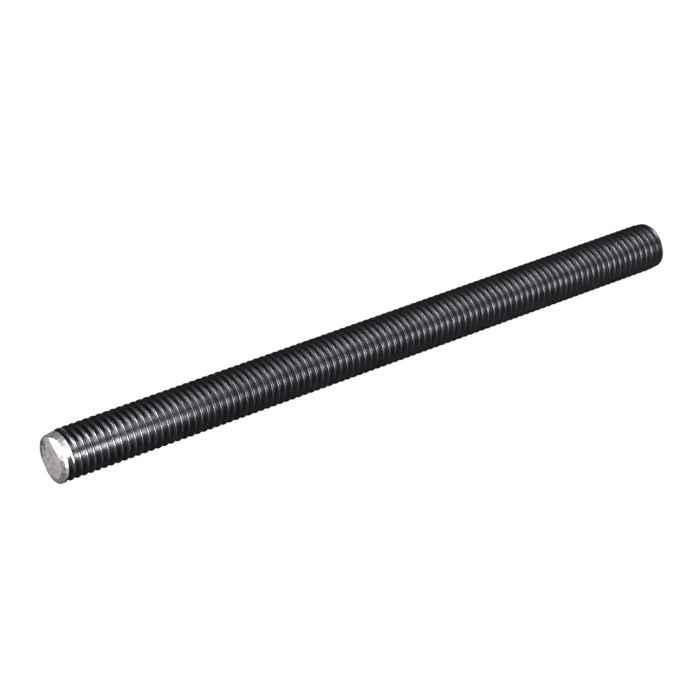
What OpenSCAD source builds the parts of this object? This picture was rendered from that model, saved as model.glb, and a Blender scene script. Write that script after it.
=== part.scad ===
// Fully threaded rod, M12 x 1.75, with both ends ground so that a nut starts easily.
// The rod lies along X. The point where its axis meets the near end face is the origin.

/* [Rod] */
// Length from one end face to the other
rod_length = 175; // [40:1:300]
// Diameter over the thread's crests
crest_diameter = 12; // [8:0.5:20]

/* [Thread] */
// Distance along the rod from one crest to the next
pitch = 1.75; // [1.5:0.05:2.5]
// Angle between the two flanks of a groove
groove_angle = 60; // [55:1:65]
// Angle about the rod, from straight down, at which a crest leaves the near end
thread_start = 85; // [0:5:355]

/* [Ends] */
// Length of the shallow taper at an end, from the end face to the full diameter
taper_length = 3.3; // [2.5:0.1:5]
// How far below the crests the taper is where it meets the bevel
taper_depth = 0.3; // [0.1:0.05:0.5]
// Length of the steep bevel between the end face and the taper
bevel_length = 0.45; // [0.3:0.05:1.2]
// How much deeper than that the bevel is at the end face
bevel_depth = 0.85; // [0.4:0.05:1.2]

/* [Near end] */
// How far off centre this end's taper is ground
grind_offset = 0.35; // [0:0.05:0.5]
// How far off centre the end face is left by the bevel
face_offset = 0.25; // [0:0.05:0.4]
// Angle about the rod, from straight down, at which the taper is deepest
grind_angle = 150; // [0:5:355]
// Angle about the rod, from straight down, of the flat that is ground across the bevel
flat_angle = 210; // [0:5:355]
// How far inside the crests that flat meets the end face
flat_depth = 2.1; // [1:0.1:2.5]
// Angle between that flat and the rod's axis
flat_tilt = 60; // [45:1:70]
// Distance along the rod at which the groove starts to be cut
lead_length = 1.6; // [0.5:0.1:2.5]

/* [Detail] */
// Most triangles that the thread's flanks and roots are drawn with
thread_triangles = 9000; // [7200:300:9900]

/* [Hidden] */
$fn = 72;

// Metric thread form: the full V loses an eighth of its height at the crest,
// and the groove is 17/24 of that height deep, which leaves its root flat.
crest_radius = crest_diameter / 2;
v_height = pitch / 2 / tan(groove_angle / 2);
root_radius = crest_radius - v_height * 17 / 24;
root_width = pitch / 6;
flank_width = (pitch - root_width) / 2;
sharp_radius = root_radius + flank_width / tan(groove_angle / 2);

// One pitch of the profile, as [radius, distance along the rod], up to a crest
profile = [
    [root_radius, -flank_width - root_width],
    [root_radius, -flank_width],
    [sharp_radius, 0],
];

// The screw runs past both ends of the rod, and the blank's ends cut it off there
spare_turns = 2;
turns = ceil(rod_length / pitch) + 2 * spare_turns;
turn_sides = max(8, floor(thread_triangles / (2 * len(profile) * rod_length / pitch)));
steps = turns * turn_sides;

bevel_radius = crest_radius - taper_depth;
face_radius = bevel_radius - bevel_depth;
disc = 0.01;

// The tapers are drawn on outwards, and the bar cuts them off at the crests
spare_radius = 0.2;
taper_run = bevel_length
    + (taper_length - bevel_length) * (taper_depth + spare_radius) / taper_depth;

// How much the lead narrows over each mm of its length
lead_slope = 1.6;
lead_end = lead_length + (crest_radius - root_radius + spare_radius) / lead_slope;

// Point j of the profile at step i of the helix
function screw_point(i, j) =
    let (turn = i / turn_sides, radius = profile[j][0])
    [radius * cos(360 * turn), radius * sin(360 * turn), pitch * turn + profile[j][1]];

// Where that point stands in the list. The profile's end is its own start, one turn on.
function place(i, j) =
    j < len(profile) ? i * len(profile) + j : place(i + turn_sides, 0);

// A long screw with sharp crests, wound to the right about Z
module screw() {
    points = [for (i = [0:steps + turn_sides], j = [0:len(profile) - 1]) screw_point(i, j)];
    bottom = len(points);
    top = bottom + 1;
    tips = [[0, 0, -2 * pitch], [0, 0, (turns + 2) * pitch]];
    thread = [for (i = [0:steps - 1], j = [0:len(profile) - 1])
        each [
            [place(i, j), place(i, j + 1), place(i + 1, j + 1)],
            [place(i, j), place(i + 1, j + 1), place(i + 1, j)],
        ]];
    bottom_cap = concat(
        [for (i = [0:turn_sides - 1]) [bottom, place(i, 0), place(i + 1, 0)]],
        [for (j = [0:len(profile) - 1]) [bottom, place(0, j + 1), place(0, j)]]);
    top_cap = concat(
        [for (i = [steps:steps + turn_sides - 1]) [top, place(i + 1, 0), place(i, 0)]],
        [for (j = [0:len(profile) - 1]) [top, place(steps, j), place(steps, j + 1)]]);
    polyhedron(concat(points, tips), concat(thread, bottom_cap, top_cap));
}

// A thin disc across the bar, moved off centre towards the side that is ground most
module station(z, radius, offset = 0)
    translate([offset * cos(grind_angle), offset * sin(grind_angle), z])
        cylinder(r = radius, h = disc);

// What the grinding leaves: a taper and a bevel at each end. At the near end they are
// off centre, so the taper is deepest on one side and fades out on the other.
module ground_ends() {
    hull() {
        station(0, face_radius, face_offset);
        station(bevel_length, bevel_radius, -grind_offset);
        station(taper_run, crest_radius + spare_radius);
        station(rod_length - taper_run - disc, crest_radius + spare_radius);
        station(rod_length - bevel_length - disc, bevel_radius);
        station(rod_length - disc, face_radius);
    }
}

// What the flat at the near end leaves: all that lies on the axis's side of its plane
module inside_flat() {
    reach = rod_length + crest_diameter;
    rotate([0, 0, flat_angle])
        translate([crest_radius - flat_depth, 0, 0])
            rotate([0, flat_tilt, 0])
                translate([-reach, -reach, -reach])
                    cube([reach, 2 * reach, 2 * reach]);
}

// What fills the groove at the near end, where the thread starts little by little
module lead() {
    translate([0, 0, -1])
        cylinder(
            r1 = crest_radius + (lead_length + 1) * lead_slope,
            r2 = root_radius - spare_radius,
            h = lead_end + 1);
}

module threaded_rod() {
    color([0.13, 0.13, 0.15])
        rotate([0, 90, 0])
            intersection() {
                cylinder(r = crest_radius, h = rod_length);
                ground_ends();
                inside_flat();
                union() {
                    rotate([0, 0, thread_start])
                        translate([0, 0, -spare_turns * pitch])
                            screw();
                    lead();
                }
            }
}

threaded_rod();
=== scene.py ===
import math

import bpy
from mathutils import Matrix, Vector


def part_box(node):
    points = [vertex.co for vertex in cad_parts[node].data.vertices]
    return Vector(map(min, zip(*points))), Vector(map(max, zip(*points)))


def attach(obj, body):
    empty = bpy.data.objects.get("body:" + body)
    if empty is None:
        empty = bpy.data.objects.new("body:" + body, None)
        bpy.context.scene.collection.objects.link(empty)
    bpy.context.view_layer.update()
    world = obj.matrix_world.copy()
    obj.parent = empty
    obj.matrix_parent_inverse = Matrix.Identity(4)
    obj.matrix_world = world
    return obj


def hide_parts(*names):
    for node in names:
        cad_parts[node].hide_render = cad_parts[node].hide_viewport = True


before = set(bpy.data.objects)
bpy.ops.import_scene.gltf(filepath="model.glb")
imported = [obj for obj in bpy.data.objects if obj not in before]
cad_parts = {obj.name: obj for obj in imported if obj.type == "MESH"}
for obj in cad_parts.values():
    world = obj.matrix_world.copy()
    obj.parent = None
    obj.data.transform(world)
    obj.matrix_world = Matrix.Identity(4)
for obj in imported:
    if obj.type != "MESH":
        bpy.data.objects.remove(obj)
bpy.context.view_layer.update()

# Threaded rod: one bar of low-carbon steel, with a right-hand metric thread rolled
# along all of it. The rolls leave an arc at the root of the groove and a rounded crest.
rod_low, rod_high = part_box("threaded_rod")
rod_length = rod_high.x - rod_low.x
crest_radius = (rod_high.z - rod_low.z) / 2
near_end = Vector((rod_low.x, 0, 0))
pitch = 0.00175
half_angle = math.radians(30)
crest_arc = 0.00028
root_arc = 0.1443 * pitch
crest_middle = crest_radius - crest_arc
v_top = crest_middle + crest_arc / math.sin(half_angle)
v_bottom = v_top - pitch / 2 / math.tan(half_angle)
root_middle = v_bottom + root_arc / math.sin(half_angle)
turn_steps = 64
spare_turns = 2
thread_start = math.radians(95) / math.tau * pitch

# Half of one thread's section, from the middle of the root to the crest: each point is a
# length along the bar and a radius.
lean = math.pi / 2 - half_angle
left_half = [
    (-pitch / 2 + root_arc * math.sin(t), root_middle - root_arc * math.cos(t))
    for t in (0, lean / 2, lean)
] + [
    (-crest_arc * math.sin(t), crest_middle + crest_arc * math.cos(t))
    for t in (lean, lean * 3 / 4, lean / 2, lean / 4)
]
thread_profile = left_half + [(0, crest_radius)] + [(-x, r) for x, r in reversed(left_half)]

bpy.ops.object.select_all(action="DESELECT")
first_x, first_r = thread_profile[0]
start_x = rod_low.x + thread_start - spare_turns * pitch
bpy.ops.mesh.primitive_plane_add(size=pitch, location=(start_x + first_x, 0, first_r))
rod = bpy.context.object
rod.name = "threaded_bar"
bpy.ops.object.transform_apply(location=True, rotation=True, scale=True)
bpy.ops.object.mode_set(mode="EDIT")
bpy.ops.mesh.merge(type="CENTER")
for (x0, r0), (x1, r1) in zip(thread_profile, thread_profile[1:]):
    bpy.ops.mesh.extrude_vertices_move(TRANSFORM_OT_translate={"value": (x1 - x0, 0, r1 - r0)})
bpy.ops.object.mode_set(mode="OBJECT")
bpy.ops.object.modifier_add(type="SCREW")
winding = rod.modifiers[-1]
winding.axis = "X"
winding.steps = turn_steps
winding.render_steps = turn_steps
winding.screw_offset = pitch
winding.iterations = math.ceil(rod_length / pitch) + 2 * spare_turns
bpy.ops.object.modifier_apply(modifier=winding.name)

# Start of the thread: the rolls bite little by little, so the groove is filled at the
# near end and gets its depth over a fifth of a turn.
lead_length = 0.00152
lead_run = 0.00035
for point in rod.data.vertices:
    turn = math.atan2(point.co.z, point.co.y) / math.tau - 0.25
    from_crest = (point.co.x - start_x) / pitch - turn
    groove = point.co.x - (from_crest - 0.5 - round(from_crest - 0.5)) * pitch
    cut = min(max((groove - rod_low.x - lead_length) / lead_run, 0), 1)
    filling = 1 - cut * cut * (3 - 2 * cut)
    radius = math.hypot(point.co.y, point.co.z)
    grown = 1 + (crest_radius - radius) * filling / radius
    point.co.y *= grown
    point.co.z *= grown

# The turns are merged, cut off half a pitch past each end, and closed there.
bpy.ops.object.mode_set(mode="EDIT")
bpy.ops.mesh.select_all(action="SELECT")
bpy.ops.mesh.remove_doubles(threshold=1e-6)
for cut_x, outward in ((rod_low.x - pitch / 2, -1), (rod_high.x + pitch / 2, 1)):
    bpy.ops.mesh.select_all(action="SELECT")
    bpy.ops.mesh.bisect(
        plane_co=(cut_x, 0, 0), plane_no=(outward, 0, 0), use_fill=True,
        clear_outer=True, threshold=1e-7,
    )
bpy.ops.mesh.select_all(action="SELECT")
bpy.ops.mesh.normals_make_consistent(inside=False)
bpy.ops.object.mode_set(mode="OBJECT")

# Its finish is black from the mill, darker in the root, partly from oxide and dirt held there and
# partly as painted shade, with an uneven film of oil. On the first turns one side, towards the camera
# and the lamps in front, is lighter and smoother: partly worn through to bare steel, partly a painted
# highlight.


# A new steel: its material, its node tree, its shader and the bar's own coordinates.
def steel(name, metallic):
    material = bpy.data.materials.new(name)
    material.use_nodes = True
    tree = material.node_tree
    shader = tree.nodes["Principled BSDF"]
    shader.inputs["Metallic"].default_value = metallic
    place = tree.nodes.new("ShaderNodeTexCoord").outputs["Object"]
    return material, tree, shader, place


# A Math or VectorMath node, with each input linked or set.
def maths(tree, kind, operation, *values):
    node = tree.nodes.new("ShaderNode" + kind)
    node.operation = operation
    for socket, value in zip(node.inputs, values):
        if isinstance(value, bpy.types.NodeSocket):
            tree.links.new(value, socket)
        else:
            socket.default_value = value
    return node


# A value that goes from low to high as another goes from start to end.
def graded(tree, value, start, end, low=0, high=1, blend="LINEAR"):
    grade = tree.nodes.new("ShaderNodeMapRange")
    grade.interpolation_type = blend
    grade.inputs["From Min"].default_value = start
    grade.inputs["From Max"].default_value = end
    grade.inputs["To Min"].default_value = low
    grade.inputs["To Max"].default_value = high
    tree.links.new(value, grade.inputs["Value"])
    return grade.outputs["Result"]


# Tones that blend into each other, from pairs of a position and a tone.
def toned(tree, value, steps):
    ramp = tree.nodes.new("ShaderNodeValToRGB")
    marks = ramp.color_ramp.elements
    for position, tone in steps[1:-1]:
        marks.new(position)
    for mark, (position, tone) in zip(marks, steps):
        mark.position = position
        mark.color = (*tone, 1)
    tree.links.new(value, ramp.inputs["Fac"])
    return ramp.outputs["Color"]


# Soft uneven patches, smaller as the fineness grows.
def patches(tree, place, fineness, detail, breakup=0.5):
    noise = tree.nodes.new("ShaderNodeTexNoise")
    noise.inputs["Scale"].default_value = fineness
    noise.inputs["Detail"].default_value = detail
    noise.inputs["Roughness"].default_value = breakup
    tree.links.new(place, noise.inputs["Vector"])
    return noise.outputs["Fac"]


# One tone over another, as far as the cover reaches.
def covered(tree, cover, under, over):
    mix = tree.nodes.new("ShaderNodeMix")
    mix.data_type = "RGBA"
    tree.links.new(cover, mix.inputs["Factor"])
    tree.links.new(under, mix.inputs["A"])
    if isinstance(over, bpy.types.NodeSocket):
        tree.links.new(over, mix.inputs["B"])
    else:
        mix.inputs["B"].default_value = (*over, 1)
    return mix.outputs["Result"]


groove_depth = crest_radius - (root_middle - root_arc)
# The first turns are lighter on the side towards the camera and the lamps in front: partly steel worn
# bare, partly a painted highlight for the brighter reflections near the lamps.
wear_and_highlight_length = 0.048
worn_and_lit_side = Vector((0, -0.888, 0.456)) / crest_radius
lit_wear_from = 0.7
lit_wear_through = 0.96
oxide_roughness = 0.34
worn_roughness = 0.22
black, tree, shader, place = steel("black_finish", metallic=1)
shader.inputs["Specular Tint"].default_value = (0.42, 0.38, 0.52, 1)
along = tree.nodes.new("ShaderNodeSeparateXYZ")
tree.links.new(place, along.inputs["Vector"])
wear_and_highlight_along = graded(tree, along.outputs["X"], rod_low.x + wear_and_highlight_length, rod_low.x, blend="SMOOTHSTEP")
facing = maths(tree, "VectorMath", "DOT_PRODUCT", place, worn_and_lit_side).outputs["Value"]
on_worn_lit_side = graded(tree, facing, lit_wear_from, lit_wear_through, blend="SMOOTHSTEP")
worn_and_highlit = maths(tree, "Math", "MULTIPLY", wear_and_highlight_along, on_worn_lit_side).outputs["Value"]
shine = graded(tree, worn_and_highlit, 0, 1, low=oxide_roughness, high=worn_roughness)
tree.links.new(shine, shader.inputs["Roughness"])

across = maths(tree, "VectorMath", "MULTIPLY", place, (0, 1, 1)).outputs["Vector"]
from_axis = maths(tree, "VectorMath", "LENGTH", across).outputs["Value"]
height = graded(tree, from_axis, crest_radius - groove_depth, crest_radius)
# Darker towards the root: partly oxide and dirt held in the groove, partly painted shade in the
# hollow of the thread.
oxide_and_root_shade = toned(tree, height, [
    (0, (0.1, 0.094, 0.112)),
    (0.3, (0.152, 0.145, 0.159)),
    (0.93, (0.123, 0.117, 0.129)),
    (1, (0.16, 0.154, 0.165)),
])
# Lighter tones on that side of the first turns: partly bare steel, partly a painted highlight.
bared_and_highlit = toned(tree, height, [
    (0, (0.2, 0.19, 0.205)),
    (0.3, (0.4, 0.385, 0.402)),
    (0.7, (0.42, 0.41, 0.42)),
    (1, (0.4, 0.39, 0.4)),
])
tone = covered(tree, worn_and_highlit, oxide_and_root_shade, bared_and_highlit)
film = patches(tree, place, fineness=450, detail=2)
oil = graded(tree, film, 0.3, 0.7, low=0.75, high=1.2)
oiled = maths(tree, "VectorMath", "MULTIPLY", tone, oil).outputs["Vector"]
tree.links.new(oiled, shader.inputs["Base Color"])
rod.data.materials.append(black)

# Ground ends: the bar is sawn square, and each end is ground to a shallow taper and a
# steep bevel. At the near end both are off centre, so the taper is deepest towards the
# top and fades out below, and a flat is ground across the bevel on the side that is worn and painted
# lighter.
taper_length = 0.0033
taper_depth = 0.0003
bevel_length = 0.00045
bevel_depth = 0.00085
grind_offset = 0.00035
face_offset = 0.00025
grind_angle = math.radians(150)
flat_angle = math.radians(210)
flat_depth = 0.0021
flat_tilt = math.radians(60)
spare_radius = 0.0002
square_on = 0.99
bevel_radius = crest_radius - taper_depth
face_radius = bevel_radius - bevel_depth
taper_run = bevel_length + (taper_length - bevel_length) * (taper_depth + spare_radius) / taper_depth
ground_side = Vector((0, math.sin(grind_angle), -math.cos(grind_angle)))
flat_side = Vector((0, math.sin(flat_angle), -math.cos(flat_angle)))

# The form that the grinding leaves: its sides are clear of the crests.
middle = (rod_low + rod_high) / 2
bpy.ops.object.select_all(action="DESELECT")
bpy.ops.mesh.primitive_cylinder_add(
    vertices=2 * turn_steps, radius=crest_radius + spare_radius, depth=rod_length - 2 * taper_run,
    location=middle, rotation=(0, math.pi / 2, 0),
)
blank = bpy.context.object
bpy.ops.object.transform_apply(location=True, rotation=True, scale=True)
for outward, off_centre in ((-1, 1), (1, 0)):
    bpy.ops.object.mode_set(mode="EDIT")
    bpy.ops.mesh.select_all(action="DESELECT")
    bpy.ops.object.mode_set(mode="OBJECT")
    for face in blank.data.polygons:
        face.select = face.normal.x * outward > square_on
    bpy.ops.object.mode_set(mode="EDIT")
    narrowing = bevel_radius / (crest_radius + spare_radius)
    bpy.ops.mesh.extrude_region_move(
        TRANSFORM_OT_translate={"value": (outward * (taper_run - bevel_length), 0, 0)}
    )
    bpy.ops.transform.resize(value=(1, narrowing, narrowing))
    bpy.ops.transform.translate(value=ground_side * -grind_offset * off_centre)
    narrowing = face_radius / bevel_radius
    bpy.ops.mesh.extrude_region_move(TRANSFORM_OT_translate={"value": (outward * bevel_length, 0, 0)})
    bpy.ops.transform.resize(value=(1, narrowing, narrowing))
    bpy.ops.transform.translate(value=ground_side * (grind_offset + face_offset) * off_centre)
    bpy.ops.object.mode_set(mode="OBJECT")
bpy.ops.object.mode_set(mode="EDIT")
bpy.ops.mesh.select_all(action="SELECT")
bpy.ops.mesh.bisect(
    plane_co=near_end + flat_side * (crest_radius - flat_depth),
    plane_no=flat_side * math.cos(flat_tilt) - Vector((math.sin(flat_tilt), 0, 0)),
    use_fill=True, clear_outer=True, threshold=1e-7,
)
bpy.ops.object.mode_set(mode="OBJECT")

# The steel ground at the near end is bare and a little smeared. The sawn faces are duller
# and mottled, with dark scale at one side of the rim. The far taper keeps the black finish.
bare, tree, shader, place = steel("ground_steel", metallic=0.9)
shader.inputs["Roughness"].default_value = 0.48
smear = patches(tree, place, fineness=900, detail=3)
tone = toned(tree, smear, [(0.38, (0.46, 0.445, 0.46)), (0.6, (0.97, 0.95, 0.97))])
tree.links.new(tone, shader.inputs["Base Color"])

sawn, tree, shader, place = steel("sawn_steel", metallic=0.1)
shader.inputs["Roughness"].default_value = 0.6
mottle = patches(tree, place, fineness=1100, detail=5, breakup=0.7)
tone = toned(tree, mottle, [(0.36, (0.5, 0.44, 0.45)), (0.6, (1, 0.94, 0.94))])
rim_side = Vector((0, 0.97, 0.25))
rim_weight = 0.96 / crest_radius
rim = maths(tree, "VectorMath", "DOT_PRODUCT", place, rim_side).outputs["Value"]
rim_spots = patches(tree, place, fineness=600, detail=3)
towards_rim = maths(tree, "Math", "MULTIPLY_ADD", rim, rim_weight, rim_spots).outputs["Value"]
scale = graded(tree, towards_rim, 1, 1.15, blend="SMOOTHSTEP")
spotted = covered(tree, scale, tone, (0.16, 0.15, 0.16))
tree.links.new(spotted, shader.inputs["Base Color"])

blank.data.materials.append(bare)
blank.data.materials.append(sawn)
blank.data.materials.append(black)
for face in blank.data.polygons:
    if abs(face.normal.x) > square_on:
        face.material_index = 1
    elif face.center.x > middle.x:
        face.material_index = 2

bpy.ops.object.select_all(action="DESELECT")
rod.select_set(True)
bpy.context.view_layer.objects.active = rod
bpy.ops.object.modifier_add(type="BOOLEAN")
grinding = rod.modifiers[-1]
grinding.operation = "INTERSECT"
grinding.solver = "EXACT"
grinding.material_mode = "TRANSFER"
grinding.object = blank
bpy.ops.object.modifier_apply(modifier=grinding.name)
bpy.data.objects.remove(blank)
bpy.ops.object.shade_smooth_by_angle(angle=math.radians(25))

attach(rod, "root")
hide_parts("threaded_rod")

# Studio: a plain white floor meets a white surround. The camera sees both as white, and
# the bar mirrors only a small share of them, so that its finish stays black.
floor_glow = 0.97
floor_share = 0.07
surround_share = 0.05
surround_fill = 0.03


# The camera's rays in full, and a share of the rays that mirrors and glass send out.
def seen_rays(tree, share):
    rays = tree.nodes.new("ShaderNodeLightPath").outputs
    other = maths(tree, "Math", "MAXIMUM", rays["Is Glossy Ray"], rays["Is Transmission Ray"])
    seen = maths(tree, "Math", "MULTIPLY_ADD", other.outputs["Value"], share, rays["Is Camera Ray"])
    return seen.outputs["Value"]


bpy.ops.object.select_all(action="DESELECT")
bpy.ops.mesh.primitive_plane_add(size=6, location=(middle.x, 0, rod_low.z))
floor = bpy.context.object
floor.name = "floor"
floor_white = bpy.data.materials.new("floor_white")
floor_white.use_nodes = True
tree = floor_white.node_tree
shader = tree.nodes["Principled BSDF"]
shader.inputs["Base Color"].default_value = (0.04, 0.04, 0.04, 1)
shader.inputs["Roughness"].default_value = 0.9
glow = tree.nodes.new("ShaderNodeEmission")
lift = maths(tree, "Math", "MULTIPLY", seen_rays(tree, floor_share), floor_glow)
tree.links.new(lift.outputs["Value"], glow.inputs["Strength"])
both = tree.nodes.new("ShaderNodeAddShader")
tree.links.new(shader.outputs["BSDF"], both.inputs[0])
tree.links.new(glow.outputs["Emission"], both.inputs[1])
tree.links.new(both.outputs["Shader"], tree.nodes["Material Output"].inputs["Surface"])
floor.data.materials.append(floor_white)

surround = bpy.data.worlds.new("studio")
bpy.context.scene.world = surround
surround.use_nodes = True
tree = surround.node_tree
sky = tree.nodes["Background"]
sky.inputs["Color"].default_value = (1, 1, 1, 1)
strength = graded(tree, seen_rays(tree, surround_share), 0, 1, low=surround_fill)
tree.links.new(strength, sky.inputs["Strength"])


# Lamps: softboxes above, in front and at the left of the bar. Each one's place and target
# are measured from the near end.
def softbox(name, place, target, size, size_y, power):
    lamp = bpy.data.lights.new(name, "AREA")
    lamp.shape = "RECTANGLE"
    lamp.size = size
    lamp.size_y = size_y
    lamp.energy = power
    holder = bpy.data.objects.new(name, lamp)
    bpy.context.scene.collection.objects.link(holder)
    holder.location = near_end + Vector(place)
    away = Vector(place) - Vector(target)
    holder.rotation_euler = away.to_track_quat("Z", "Y").to_euler()


softbox("top_softbox", (0.08, -0.26, 0.4), (0.08, 0, 0), 0.46, 0.2, 1.3)
softbox("far_top_softbox", (0.46, -0.09, 0.45), (0.14, 0, 0), 0.3, 0.2, 2.4)
softbox("front_softbox", (0.04, -0.6, 0.085), (0.04, 0, 0), 0.34, 0.16, 2.4)
softbox("low_right_softbox", (0.37, -0.56, 0.12), (0.02, 0, 0), 0.16, 0.23, 1.5)
softbox("left_softbox", (-0.45, 0.1, 0.09), (0, 0, 0), 0.16, 0.16, 0.65)
softbox("high_left_softbox", (-0.5, 0.04, 0.27), (0, 0, 0), 0.28, 0.2, 0.45)

# Camera: a long lens that looks down along the bar from beside its near end.
camera_data = bpy.data.cameras.new("camera")
camera_data.lens = 130.6
camera_data.sensor_width = 36
camera_data.clip_start = 0.01
camera = bpy.data.objects.new("camera", camera_data)
bpy.context.scene.collection.objects.link(camera)
camera.location = near_end + Vector((-0.2211, -0.42307, 0.30109))
azimuth = math.radians(35.533)
elevation = math.radians(30.035)
level = math.cos(elevation)
view = Vector((math.sin(azimuth) * level, math.cos(azimuth) * level, -math.sin(elevation)))
camera.rotation_euler = view.to_track_quat("-Z", "Y").to_euler()
bpy.context.scene.camera = camera
bpy.context.scene.view_settings.view_transform = "Standard"
